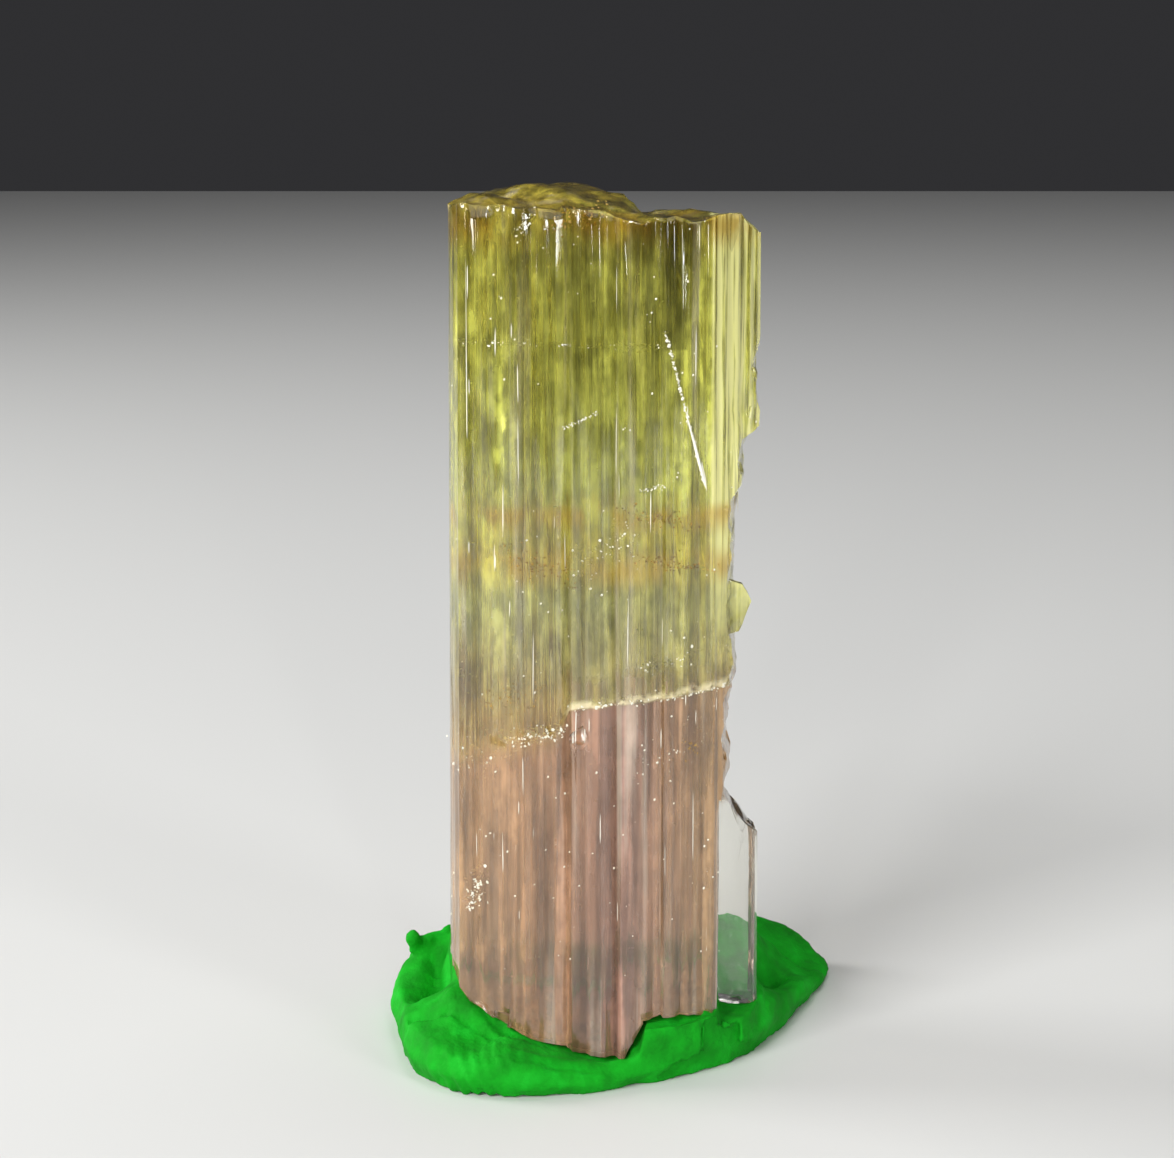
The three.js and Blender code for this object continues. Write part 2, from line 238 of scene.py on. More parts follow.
# %% [markdown]
# ## The tourmaline
# Tourmaline bends light more than glass and takes its colour from traces of metal that changed while it
# grew, so the lower part is pink and the upper part yellow-green. The colour could be a see-through volume,
# but a plain volume has one colour only. So a weak, even absorption gives the depth, and the zones tint the
# surface that light passes through on its way in and out. The change of colour follows a stepped line
# across the prism, with streaks along it, golden bands and a clear blade at the lower right.


# %% Colours and nodes
def paint(hex_colour):
    """An sRGB hex colour as the linear colour that Blender's sockets take."""
    channels = [int(hex_colour[i : i + 2], 16) / 255 for i in (1, 3, 5)]
    linear = [c / 12.92 if c <= 0.04045 else ((c + 0.055) / 1.055) ** 2.4 for c in channels]
    return (*linear, 1.0)


def add(tree, kind, inputs=(), **settings):
    """Adds a node with its settings. Inputs go by name or in order, and a node gives its first output."""
    made = tree.nodes.new(kind)
    for name, value in settings.items():
        setattr(made, name, value)
    for socket, value in inputs.items() if isinstance(inputs, dict) else enumerate(inputs):
        if isinstance(value, bpy.types.Node):
            value = value.outputs[0]
        if isinstance(value, bpy.types.NodeSocket):
            tree.links.new(value, made.inputs[socket])
        else:
            made.inputs[socket].default_value = value
    return made


def set_stops(ramp_node, stops):
    """Gives a colour ramp these stops, each a place from 0 to 1 and a linear colour."""
    elements = ramp_node.color_ramp.elements
    while len(elements) < len(stops):
        elements.new(0.5)
    for element, (place, colour) in zip(elements, stops):
        element.position = place
        element.color = colour


def new_material(name):
    """An empty node material and its output node."""
    material = bpy.data.materials.new(name)
    material.use_nodes = True
    material.node_tree.nodes.clear()
    return material, material.node_tree, material.node_tree.nodes.new("ShaderNodeOutputMaterial")


# %% The crystal's axes, for its markings
tourmaline, tree, tourmaline_out = new_material("tourmaline")
place = add(tree, "ShaderNodeTexCoord")
in_mm = add(tree, "ShaderNodeVectorMath", {0: place.outputs["Object"], "Scale": 1 / MM}, operation="SCALE")
leaning = {"Location": to_crystal.to_translation(), "Rotation": (math.radians(LEAN_BACK), 0, 0)}
upright = add(tree, "ShaderNodeMapping", {"Vector": in_mm, **leaning})
axes = add(tree, "ShaderNodeSeparateXYZ", [upright])
print("axes:", ", ".join(axis.name for axis in axes.outputs))

# %% Where each marking is
# Each edge of a marking fades in along one axis, from the first place to the second, in millimetres.
MARKING_EDGES_MM = {
    "left_side": ("X", -1.2, -1.6),
    "front": ("Y", 0.5, -0.5),
    "window_left": ("X", 1.98, 2.08),
    "window_right": ("X", 2.85, 2.75),
    "window_foot": ("Z", 25.4, 25.5),
    "window_head": ("Z", 30.2, 30.1),
    # The strip is where a painted glow lightens the right-hand edge.
    "strip_left": ("X", 3.55, 3.75),
    "strip_foot": ("Z", 13.6, 19.0),
    "seam_left": ("X", -1.5, -1.1),
    "blade_left": ("X", 3.9, 4.05),
    "blade_top": ("Z", 9.6, 9.0),
}
SMOOTHLY = "SMOOTHSTEP"
marking = {}
for name, (axis, start_mm, full_mm) in MARKING_EDGES_MM.items():
    fade = [axes.outputs[axis], start_mm, full_mm]
    marking[name] = add(tree, "ShaderNodeMapRange", fade, interpolation_type=SMOOTHLY)
print("edges of markings:", len(marking))

# %% The grain that growth left in it, and the threads of the painted glow
# Each grain: grains per millimetre, how far it is squashed along the crystal, and its detail.
GRAINS = {
    "ragged_change": (1.6, 0.35, 4.0),
    "streaks": (2.6, 0.05, 4.0),
    "mottle": (2.2, 0.6, 6.0),
    "silk_bands": (1.7, 0.03, 5.0),
    "glow_threads": (5.0, 0.03, 3.0),
    "gold": (0.55, 0.8, 4.0),
    "seam": (2.2, 1.0, 3.0),
    "ridges": (9.0, 0.1, 3.0),
    "clouds": (0.8, 0.4, 5.0),
}
# The range of a grain that shows, and what that range is turned to.
SHOWN_GRAINS = {
    "streaks": (0.38, 0.62, 0.56, 1.26),
    "mottle": (0.36, 0.64, 0.62, 1.26),
    "silk_bands": (0.54, 0.68, 0.0, 1.0),
    "glow_threads": (0.32, 0.55, 0.0, 1.0),
    "gold": (0.4, 0.56, 0.0, 1.0),
    "seam": (0.35, 0.55, 0.0, 1.0),
    "clouds": (0.5, 0.7, 0.0, 1.0),
}
grain = {}
for name, (per_mm, squash, detail) in GRAINS.items():
    drawn_out = add(tree, "ShaderNodeMapping", {"Vector": upright, "Scale": (1, 1, squash)})
    noise = {"Vector": drawn_out, "Scale": per_mm, "Detail": detail}
    grain[name] = add(tree, "ShaderNodeTexNoise", noise)
shown = {}
for name, limits in SHOWN_GRAINS.items():
    shown[name] = add(tree, "ShaderNodeMapRange", [grain[name], *limits], interpolation_type=SMOOTHLY)
print("grains:", ", ".join(grain))

# %% Where the pink ends and the green begins
LEFT_EDGE_MM = -5.5
RIGHT_EDGE_MM = 5.5
CHANGE_LOW_MM = 10.0
CHANGE_SPAN_MM = 5.0
# The height of the colour change from the left edge to the right one, with the step in the middle.
COLOUR_CHANGE_MM = [(-5.5, 11.4), (-1.7, 12.25), (-1.2, 13.05), (1.25, 13.35), (5.5, 13.85)]
CHANGE_FADE_MM = (-0.12, 0.16)
# The change is a sharp line on the right, and gets ragged and soft on the left.
RAGGED_RIGHT_MM = 0.22
RAGGED_LEFT_MORE_MM = 2.86
SOFTER_LEFT = -0.75

across = add(tree, "ShaderNodeMapRange", [axes.outputs["X"], LEFT_EDGE_MM, RIGHT_EDGE_MM])
change = add(tree, "ShaderNodeValToRGB", [across])
change_stops = []
for x_mm, height_mm in COLOUR_CHANGE_MM:
    share = (height_mm - CHANGE_LOW_MM) / CHANGE_SPAN_MM
    change_stops.append(((x_mm - LEFT_EDGE_MM) / (RIGHT_EDGE_MM - LEFT_EDGE_MM), (share, share, share, 1)))
set_stops(change, change_stops)
to_height = [change, CHANGE_SPAN_MM, CHANGE_LOW_MM]
change_height = add(tree, "ShaderNodeMath", to_height, operation="MULTIPLY_ADD")
above = add(tree, "ShaderNodeMath", [axes.outputs["Z"], change_height], operation="SUBTRACT")
to_raggedness = [marking["left_side"], RAGGED_LEFT_MORE_MM, RAGGED_RIGHT_MM]
raggedness = add(tree, "ShaderNodeMath", to_raggedness, operation="MULTIPLY_ADD")
sharpness = add(tree, "ShaderNodeMath", [marking["left_side"], SOFTER_LEFT, 1.0], operation="MULTIPLY_ADD")
wander = add(tree, "ShaderNodeMath", [grain["ragged_change"], 0.5], operation="SUBTRACT")
ragged = add(tree, "ShaderNodeMath", [wander, raggedness, above], operation="MULTIPLY_ADD")
soft_change = add(tree, "ShaderNodeMath", [ragged, sharpness], operation="MULTIPLY")
green_share = add(tree, "ShaderNodeMapRange", [soft_change, *CHANGE_FADE_MM], interpolation_type=SMOOTHLY)
print("colour change in mm, left and right:", COLOUR_CHANGE_MM[0][1], COLOUR_CHANGE_MM[-1][1])

# %% The colours of the two zones
GREEN_FOOT_MM = 11.0
GREEN_HEAD_MM = 31.0
up_the_green = add(tree, "ShaderNodeMapRange", [axes.outputs["Z"], GREEN_FOOT_MM, GREEN_HEAD_MM])
green = add(tree, "ShaderNodeValToRGB", [up_the_green])
set_stops(
    green,
    [
        (0.0, paint("#efd48a")),
        (0.13, paint("#d2c676")),
        (0.29, paint("#c9cb74")),
        (0.36, paint("#e6d858")),
        (0.45, paint("#e0e66e")),
        (0.85, paint("#e4e468")),
        (1.0, paint("#d8c24a")),
    ],
)
pink = add(tree, "ShaderNodeValToRGB", [across])
set_stops(
    pink,
    [
        (0.0, paint("#d2a674")),
        (0.3, paint("#cb9c74")),
        (0.55, paint("#b78a78")),
        (0.8, paint("#c29c70")),
        (1.0, paint("#cda878")),
    ],
)
zoned = add(tree, "ShaderNodeMix", {"Factor": green_share, 6: pink, 7: green}, data_type="RGBA")
print("stops of green and pink:", len(green.color_ramp.elements), len(pink.color_ramp.elements))

# %% The columns it is grown from, and painted shade in the clear window near the top
COLUMNS_PER_MM = 1.05
COLUMN_SQUASH = 0.02
COLUMN_LIGHT = (0.72, 1.2)
PINK_UNEVENNESS = 0.45
WINDOW_PAINTED_SHADE = -0.5

bundle = add(tree, "ShaderNodeMapping", {"Vector": upright, "Scale": (1, 1, COLUMN_SQUASH)})
column = add(tree, "ShaderNodeTexVoronoi", {"Vector": bundle, "Scale": COLUMNS_PER_MM})
column_draw = add(tree, "ShaderNodeSeparateColor", [column.outputs["Color"]])
to_light = [column_draw, 0.0, 1.0, *COLUMN_LIGHT]
column_light = add(tree, "ShaderNodeMapRange", to_light, interpolation_type=SMOOTHLY)
uneven_light = add(tree, "ShaderNodeMath", [column_light, shown["mottle"]], operation="MULTIPLY")
to_unevenness = [green_share, 0.0, 1.0, PINK_UNEVENNESS, 1.0]
zone_unevenness = add(tree, "ShaderNodeMapRange", to_unevenness, interpolation_type=SMOOTHLY)
unevenness = add(tree, "ShaderNodeMath", [uneven_light, 1.0], operation="SUBTRACT")
zone_light = add(tree, "ShaderNodeMath", [unevenness, zone_unevenness, 1.0], operation="MULTIPLY_ADD")
patch_light = add(tree, "ShaderNodeMath", [zone_light, shown["streaks"]], operation="MULTIPLY")
in_window = marking["front"]
for side in ("left", "right", "foot", "head"):
    in_window = add(tree, "ShaderNodeMath", [in_window, marking["window_" + side]], operation="MULTIPLY")
# Painted shade: the colour of the clear window near the top is darkened to half.
window_painted_shade = add(tree, "ShaderNodeMath", [in_window, WINDOW_PAINTED_SHADE, 1.0], operation="MULTIPLY_ADD")
light = add(tree, "ShaderNodeMath", [patch_light, window_painted_shade], operation="MULTIPLY")
lit_zones = {"Factor": 1.0, 6: zoned.outputs[2], 7: light}
coloured = add(tree, "ShaderNodeMix", lit_zones, data_type="RGBA", blend_type="MULTIPLY")
print("columns across the front:", round((RIGHT_EDGE_MM - LEFT_EDGE_MM) * COLUMNS_PER_MM))

# %% Silk, gold stains, the pale seam at the colour change, the clear blade and a painted glow along the right-hand edge
# Each gold band as the heights where it starts, is full and ends.
GOLD_BANDS_MM = [(17.1, 17.9, 18.8), (18.9, 19.8, 20.3), (28.6, 29.6, 31.0)]
# The seam and the brown fringe fade in and then out by their height over the colour change.
SEAM_FADES_MM = [(-0.05, 0.05), (0.42, 0.12)]
FRINGE_FADES_MM = [(-0.9, 0.4), (2.2, 0.6)]

gold_heights = 0.0
for low_mm, full_mm, high_mm in GOLD_BANDS_MM:
    band = []
    for end_mm in (low_mm, high_mm):
        fade = [axes.outputs["Z"], end_mm, full_mm]
        band.append(add(tree, "ShaderNodeMapRange", fade, interpolation_type=SMOOTHLY))
    gold_heights = add(tree, "ShaderNodeMath", [*band, gold_heights], operation="MULTIPLY_ADD")
seam_band = []
for fade in SEAM_FADES_MM:
    seam_band.append(add(tree, "ShaderNodeMapRange", [ragged, *fade], interpolation_type=SMOOTHLY))
fringe_band = []
for fade in FRINGE_FADES_MM:
    fringe_band.append(add(tree, "ShaderNodeMapRange", [above, *fade], interpolation_type=SMOOTHLY))
out_of_window = add(tree, "ShaderNodeMath", [1.0, in_window], operation="SUBTRACT")
glow_strip_edges = [marking["strip_left"], marking["strip_foot"], marking["front"]]
# Each layer of colour: what its share is the product of, its strength and its colour.
colour_layers = {
    "silk": ([shown["silk_bands"], out_of_window], 0.45, "#f6ecd8"),
    # Painted glow: a pale yellow strip along the right-hand edge, where light caught inside the crystal
    # shows.
    "painted_glow_strip": ([*glow_strip_edges, shown["glow_threads"]], 1.0, "#fffca8"),
    "gold": ([gold_heights, shown["gold"]], 0.7, "#cfa22e"),
    "brown_fringe": ([*fringe_band, marking["left_side"]], 0.55, "#f4d076"),
    "pale_seam": ([*seam_band, marking["seam_left"], shown["seam"]], 0.8, "#f2e4b8"),
    "clear_blade": ([marking["blade_left"], marking["blade_top"]], 1.0, "#f4f4ee"),
}
layer_share = {}
for name, (shares, strength, tint) in colour_layers.items():
    product = shares[0]
    for share in shares[1:]:
        product = add(tree, "ShaderNodeMath", [product, share], operation="MULTIPLY")
    layer_share[name] = product
    covering = add(tree, "ShaderNodeMath", [product, strength], operation="MULTIPLY")
    covered = {"Factor": covering, 6: coloured.outputs[2], 7: paint(tint)}
    coloured = add(tree, "ShaderNodeMix", covered, data_type="RGBA")
print("layers of colour:", ", ".join(layer_share))

# %% Polish
# The pink zone is satin, the green one glossy, the blade glassy, and the breaks are rougher.
PINK_AND_GREEN_ROUGHNESS = (0.17, 0.06)
BLADE_SMOOTHING = -0.85
BREAK_ROUGHNESS = 0.14
RIDGE_BUMP_MM = 0.002

broken_share = add(tree, "ShaderNodeAttribute", attribute_name="broken_share")
to_satin = [green_share, 0.0, 1.0, *PINK_AND_GREEN_ROUGHNESS]
satin = add(tree, "ShaderNodeMapRange", to_satin, interpolation_type=SMOOTHLY)
to_unbladed = [layer_share["clear_blade"], BLADE_SMOOTHING, 1.0]
unbladed = add(tree, "ShaderNodeMath", to_unbladed, operation="MULTIPLY_ADD")
grown_roughness = add(tree, "ShaderNodeMath", [satin, unbladed], operation="MULTIPLY")
to_roughness = [broken_share.outputs["Fac"], BREAK_ROUGHNESS, grown_roughness]
roughness = add(tree, "ShaderNodeMath", to_roughness, operation="MULTIPLY_ADD")
ridges = {"Height": grain["ridges"], "Distance": RIDGE_BUMP_MM * MM, "Strength": 0.6}
ridge_bump = add(tree, "ShaderNodeBump", ridges)
print("roughness of pink and green:", PINK_AND_GREEN_ROUGHNESS)

# %% Clearness
# Clouds, some columns, the seam and the painted glow along the right-hand edge let less light through, and
# the blade lets most through.
PINK_AND_GREEN_CLEARNESS = (0.74, 0.93)
CLOUDY_COLUMNS = (0.35, 0.9, 0.0, -0.2)
CLOUD_LOSS = -0.3
SEAM_AND_GLOW_LOSS = -0.6
LEAST_CLEARNESS = 0.15
BLADE_CLEARNESS = 0.98

to_zone_clearness = [green_share, 0.0, 1.0, *PINK_AND_GREEN_CLEARNESS]
zone_clearness = add(tree, "ShaderNodeMapRange", to_zone_clearness, interpolation_type=SMOOTHLY)
to_column_loss = [column_draw.outputs[1], *CLOUDY_COLUMNS]
column_loss = add(tree, "ShaderNodeMapRange", to_column_loss, interpolation_type=SMOOTHLY)
grown_clearness = add(tree, "ShaderNodeMath", [zone_clearness, column_loss], operation="ADD")
to_clouded = [shown["clouds"], CLOUD_LOSS, grown_clearness]
clouded = add(tree, "ShaderNodeMath", to_clouded, operation="MULTIPLY_ADD")
seam_and_glow_layers = [layer_share["pale_seam"], layer_share["painted_glow_strip"]]
milky_seam_and_glow = add(tree, "ShaderNodeMath", seam_and_glow_layers, operation="MAXIMUM")
seam_and_glow_clouded = add(tree, "ShaderNodeMath", [milky_seam_and_glow, SEAM_AND_GLOW_LOSS, clouded], operation="MULTIPLY_ADD")
body_clearness = add(tree, "ShaderNodeMath", [seam_and_glow_clouded, LEAST_CLEARNESS], operation="MAXIMUM")
to_blade_clearness = [layer_share["clear_blade"], BLADE_CLEARNESS]
blade_clearness = add(tree, "ShaderNodeMath", to_blade_clearness, operation="MULTIPLY")
clearness = add(tree, "ShaderNodeMath", [body_clearness, blade_clearness], operation="MAXIMUM")
print("clearness of pink and green:", PINK_AND_GREEN_CLEARNESS)

# %% Clear tourmaline
# It is clear and glossy, bends light more than glass, and takes out a little blue on the way through.
TOURMALINE_IOR = 1.63
ABSORPTION_PER_METRE = 45.0
clear_body = add(
    tree,
    "ShaderNodeBsdfPrincipled",
    {
        "Base Color": coloured.outputs[2],
        "Roughness": roughness,
        "Normal": ridge_bump,
        "IOR": TOURMALINE_IOR,
        "Transmission Weight": clearness,
        "Coat Weight": 0.7,
        "Coat Roughness": 0.05,
    },
)
body_tint = {"Color": paint("#f3e6c0"), "Density": ABSORPTION_PER_METRE}
absorption = add(tree, "ShaderNodeVolumeAbsorption", body_tint)
tree.links.new(clear_body.outputs[0], tourmaline_out.inputs["Surface"])
tree.links.new(absorption.outputs[0], tourmaline_out.inputs["Volume"])

crystal.data.materials.clear()
crystal.data.materials.append(tourmaline)
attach(crystal, "root")
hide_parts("crystal")
print("tourmaline nodes:", len(tree.nodes))

# %% [markdown]
# ## What the crystal grew round
# Inside are healed cracks full of tiny bubbles, flakes stained by iron, and hair-thin growth tubes along
# the prism. They catch the light that the clear body lets through, and make most of the sparkle. Particles
# would do for a picture, but an export drops them. So each kind is one small shape, a flattened or
# drawn-out ball of twenty faces, copied to many places in one mesh, with a slant and a size of its own.


# %% Copy small shapes into the crystal
def scattered(name, places):
    """One piece of many small balls, each with its place, turn and size along the crystal's own axes."""
    bpy.ops.object.select_all(action="DESELECT")
    bpy.ops.mesh.primitive_ico_sphere_add(subdivisions=1, radius=1.0)
    grain = bpy.context.active_object
    points = []
    faces = []
    for spot, turn, size in places:
        put = to_model @ Matrix.LocRotScale(Vector(spot), Euler(turn), Vector(size))
        start = len(points)
        points.extend((put @ v.co) * MM for v in grain.data.vertices)
        faces.extend([start + i for i in p.vertices] for p in grain.data.polygons)
    bpy.data.objects.remove(grain)
    mesh = bpy.data.meshes.new(name)
    mesh.from_pydata(points, [], faces)
    piece = bpy.data.objects.new(name, mesh)
    bpy.context.scene.collection.objects.link(piece)
    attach(piece, "root")
    print(name, "copies:", len(places))
    return piece


def veil_places(draw, veil):
    """Flakes lying along a healed crack: a strip from one point to another, with some depth and spread."""
    start, end, depth_mm, spread_mm, count, size_mm = veil
    places = []
    for _ in range(count):
        along = draw.random()
        x = start[0] + (end[0] - start[0]) * along + draw.gauss(0, spread_mm)
        z = start[1] + (end[1] - start[1]) * along + draw.gauss(0, spread_mm)
        y = front_at(x, z) + depth_mm * draw.random() ** 3
        size = size_mm * draw.uniform(0.4, 1.3)
        turn = (draw.uniform(-0.5, 0.5), draw.uniform(-0.5, 0.5), draw.uniform(0, math.pi))
        radii = (size, size * draw.uniform(0.2, 0.5), size * draw.uniform(0.3, 1.0))
        places.append(((x, y, z), turn, radii))
    return places


# Each healed crack: its two ends as x and height, how deep it reaches, its spread, its flakes and their size.
HEALED_CRACKS = [
    ((-5.0, 25.7), (2.0, 25.5), 2.5, 0.06, 120, 0.06),
    ((2.03, 26.1), (3.42, 20.8), 0.35, 0.02, 420, 0.06),
    ((-1.42, 22.8), (-0.23, 23.35), 0.6, 0.03, 90, 0.05),
    ((1.2, 20.7), (2.06, 20.85), 0.5, 0.05, 60, 0.05),
    ((-3.45, 11.95), (-1.3, 12.3), 1.2, 0.14, 170, 0.07),
    ((-5.0, 10.9), (-3.4, 11.7), 1.2, 0.3, 90, 0.06),
    ((-1.2, 13.1), (4.4, 13.7), 2.5, 0.05, 260, 0.06),
    ((-4.6, 5.9), (-4.4, 7.2), 0.6, 0.18, 130, 0.07),
    ((1.3, 14.5), (3.0, 14.9), 1.5, 0.15, 70, 0.06),
    ((-1.0, 18.0), (1.6, 19.6), 2.0, 0.35, 140, 0.05),
    ((-2.9, 29.3), (-2.5, 30.1), 0.4, 0.1, 60, 0.07),
    ((1.0, 11.0), (3.6, 12.0), 1.5, 0.4, 80, 0.05),
]
draw = random.Random(7)
bubble_places = [place for veil in HEALED_CRACKS for place in veil_places(draw, veil)]
SCATTERED_BUBBLES = 300
BUBBLE_MM = 0.035
BUBBLE_SIZES = (0.2, 1.3)
BUBBLE_SIDES_MM = (-5.0, 4.2)
BUBBLE_HEIGHTS_MM = (3.2, 29.6)
BUBBLE_DEPTH_MM = 1.5
for _ in range(SCATTERED_BUBBLES):
    x = draw.uniform(*BUBBLE_SIDES_MM)
    z = draw.uniform(*BUBBLE_HEIGHTS_MM)
    spot = (x, front_at(x, z) + BUBBLE_DEPTH_MM * draw.random() ** 3, z)
    size = BUBBLE_MM * draw.uniform(*BUBBLE_SIZES)
    turn = (draw.random(), draw.random(), draw.random())
    bubble_places.append((spot, turn, (size, size * 0.5, size * 1.3)))
for _ in range(SCATTERED_BUBBLES):
    spot = skin_at(draw.uniform(0, 2 * math.pi), draw.uniform(*BUBBLE_HEIGHTS_MM))
    size = BUBBLE_MM * draw.uniform(*BUBBLE_SIZES)
    turn = (draw.random(), draw.random(), draw.random())
    bubble_places.append((spot, turn, (size, size, size * 1.3)))
bubbles = scattered("healed_cracks", bubble_places)

# %% Iron stains
# Each stain: its two ends as x and height, how deep it reaches, its spread, its flakes and their size.
IRON_STAINS = [
    ((0.7, 20.0), (2.9, 19.5), 1.0, 0.16, 150, 0.05),
    ((-3.6, 18.6), (-1.2, 17.7), 1.0, 0.22, 150, 0.05),
    ((1.2, 18.3), (4.0, 17.8), 1.0, 0.1, 150, 0.05),
    ((-1.6, 29.6), (-0.2, 30.1), 1.0, 0.25, 110, 0.06),
    ((-4.0, 13.3), (-2.4, 13.9), 1.0, 0.3, 110, 0.05),
    ((2.6, 11.5), (3.2, 11.7), 0.8, 0.2, 70, 0.05),
]
draw = random.Random(19)
stain_places = [place for stain in IRON_STAINS for place in veil_places(draw, stain)]
stains = scattered("iron_stains", stain_places)

# %% Growth tubes
TUBES = 260
TUBE_RADIUS_MM = 0.016
TUBE_RADII = (0.6, 1.6)
SHORTEST_HALF_MM = 0.25
LONGER_BY_MM = 1.6
FRONT_TUBE_ENDS_MM = (3.5, 29.4)
ROUND_TUBE_ENDS_MM = (4.5, 28.5)
TUBE_SIDES_MM = (-4.7, 3.9)
TUBE_DEPTH_MM = 2.5
TUBE_SLANT = 0.012
SUNK_SHARE = 0.98
draw = random.Random(3)
tube_places = []
for _ in range(TUBES):
    half_length = SHORTEST_HALF_MM + LONGER_BY_MM * draw.random() ** 2
    z = draw.uniform(FRONT_TUBE_ENDS_MM[0] + half_length, FRONT_TUBE_ENDS_MM[1] - half_length)
    x = draw.uniform(*TUBE_SIDES_MM)
    spot = (x, front_at(x, z) + TUBE_DEPTH_MM * draw.random() ** 3, z)
    radius = TUBE_RADIUS_MM * draw.uniform(*TUBE_RADII)
    tube_places.append((spot, (0, draw.gauss(0, TUBE_SLANT), 0), (radius, radius, half_length)))
for _ in range(TUBES):
    half_length = SHORTEST_HALF_MM + LONGER_BY_MM * draw.random() ** 2
    angle = draw.uniform(0, 2 * math.pi)
    z = draw.uniform(ROUND_TUBE_ENDS_MM[0] + half_length, ROUND_TUBE_ENDS_MM[1] - half_length)
    spot = skin_at(angle, z)
    sunk = (spot.x * SUNK_SHARE, spot.y * SUNK_SHARE, spot.z)
    radius = TUBE_RADIUS_MM * draw.uniform(*TUBE_RADII)
    tube_places.append((sunk, (0, 0, 0), (radius, radius, half_length)))
THICK_TUBE_DEPTH_MM = 0.02
# The thickest tubes and one open crack, each as x and height of its upper and its lower end, and its radius.
THICK_TUBES_MM = [
    ((-2.4, 4.8), (-2.4, 2.7), 0.025),
    ((2.1, 9.7), (2.1, 4.0), 0.025),
    ((-4.7, 29.0), (-4.7, 14.0), 0.02),
    ((2.8, 17.0), (2.8, 14.0), 0.025),
    ((2.03, 26.1), (3.42, 20.8), 0.035),
    ((2.6, 24.0), (3.45, 20.7), 0.06),
    ((3.1, 22.2), (3.5, 20.6), 0.09),
]
for (top_x, top_z), (low_x, low_z), radius in THICK_TUBES_MM:
    x = (top_x + low_x) / 2
    z = (top_z + low_z) / 2
    slant = math.atan2(top_x - low_x, top_z - low_z)
    half_length = math.hypot(top_x - low_x, top_z - low_z) / 2
    spot = (x, front_at(x, z) + THICK_TUBE_DEPTH_MM, z)
    tube_places.append((spot, (0, slant, 0), (radius, THICK_TUBE_DEPTH_MM, half_length)))
tubes = scattered("growth_tubes", tube_places)


# %% Their finishes
def flake_material(name, colour, darker, roughness):
    """A dull, even solid whose colour drifts a little from one millimetre to the next."""
    material, tree, out = new_material(name)
    place = add(tree, "ShaderNodeTexCoord")
    drift = add(tree, "ShaderNodeTexNoise", {"Vector": place.outputs["Object"], "Scale": 1 / MM})
    mixed = add(
        tree,
        "ShaderNodeMix",
        {"Factor": drift.outputs[0], 6: paint(darker), 7: paint(colour)},
        data_type="RGBA",
    )
    body = add(tree, "ShaderNodeBsdfPrincipled", {"Base Color": mixed.outputs[2], "Roughness": roughness})
    tree.links.new(body.outputs[0], out.inputs["Surface"])
    return material


# Bubbles and tubes are hollow and look white, and iron oxide is ochre to brown.
bubbles.data.materials.append(flake_material("gas bubbles", "#fffdf0", "#e6e2cc", 0.25))
tubes.data.materials.append(flake_material("hollow growth tubes", "#fffdf2", "#e9e4d2", 0.3))
stains.data.materials.append(flake_material("iron oxide", "#c8a44c", "#8a6a2e", 0.5))
print("finishes:", ", ".join(piece.active_material.name for piece in (bubbles, tubes, stains)))

# %% [markdown]
# ## The putty
# The pad is a pinch of soft putty, pressed flat by a finger and squeezed up round the crystal's foot. The
# solid has its outline and its rim. A real one has no gap to the crystal, is lumpy, creased and finely
# grained, and has a torn flap where it was pulled off. It could be sculpted by hand, but a script can't
# repeat that. So a copy of the solid is filled up to the crystal's foot, gets small lumps, is remeshed into
# one skin, and is then displaced and creased. Last, the points that are inside the crystal are pressed out
# to its nearest faces.

# %% Fill the socket up to the crystal's foot
# The lower edge of the crystal along the front, from left to right, as x and height in millimetres.
FOOT_EDGE_MM = [
    (-5.75, 3.35),
    (-5.07, 2.45),
    (-3.5, 1.4),
    (-1.9, 0.95),
    (-0.48, 0.5),
    (0.23, 0.57),
    (0.75, 1.0),
    (0.93, 1.9),
    (3.5, 1.9),
    (3.7, 1.3),
    (5.05, 1.4),
]
SOCKET_MIDDLE_MM = (-0.35, -0.8)
SOCKET_RADII_MM = (5.7, 4.7)
BED_RISE = 0.1
FOOT_FRONT_MM = -4.5
UNDERSIDE_MM = 0.05
SQUEEZED_UP_MM = 0.15
PUTTY_VOXEL_MM = 0.13


def one_skin(piece, voxel_mm):
    """Remeshes a piece into one closed skin of even faces."""
    work_on(piece)
    piece.data.remesh_voxel_size = voxel_mm * MM
    bpy.ops.object.voxel_remesh()


putty = merged_copy("putty_pad", "green_putty")
one_skin(putty, PUTTY_VOXEL_MM)
raised = 0
for vertex in putty.data.vertices:
    x, y, z = vertex.co / MM
    across_socket = (x - SOCKET_MIDDLE_MM[0]) / SOCKET_RADII_MM[0]
    along_socket = (y - SOCKET_MIDDLE_MM[1]) / SOCKET_RADII_MM[1]
    bed_mm = on_line(FOOT_EDGE_MM, x) + SQUEEZED_UP_MM + BED_RISE * max(0.0, y - FOOT_FRONT_MM)
    if across_socket**2 + along_socket**2 < 1 and UNDERSIDE_MM < z < bed_mm:
        vertex.co.z = bed_mm * MM
        raised += 1
print("points raised to the crystal's foot:", raised)

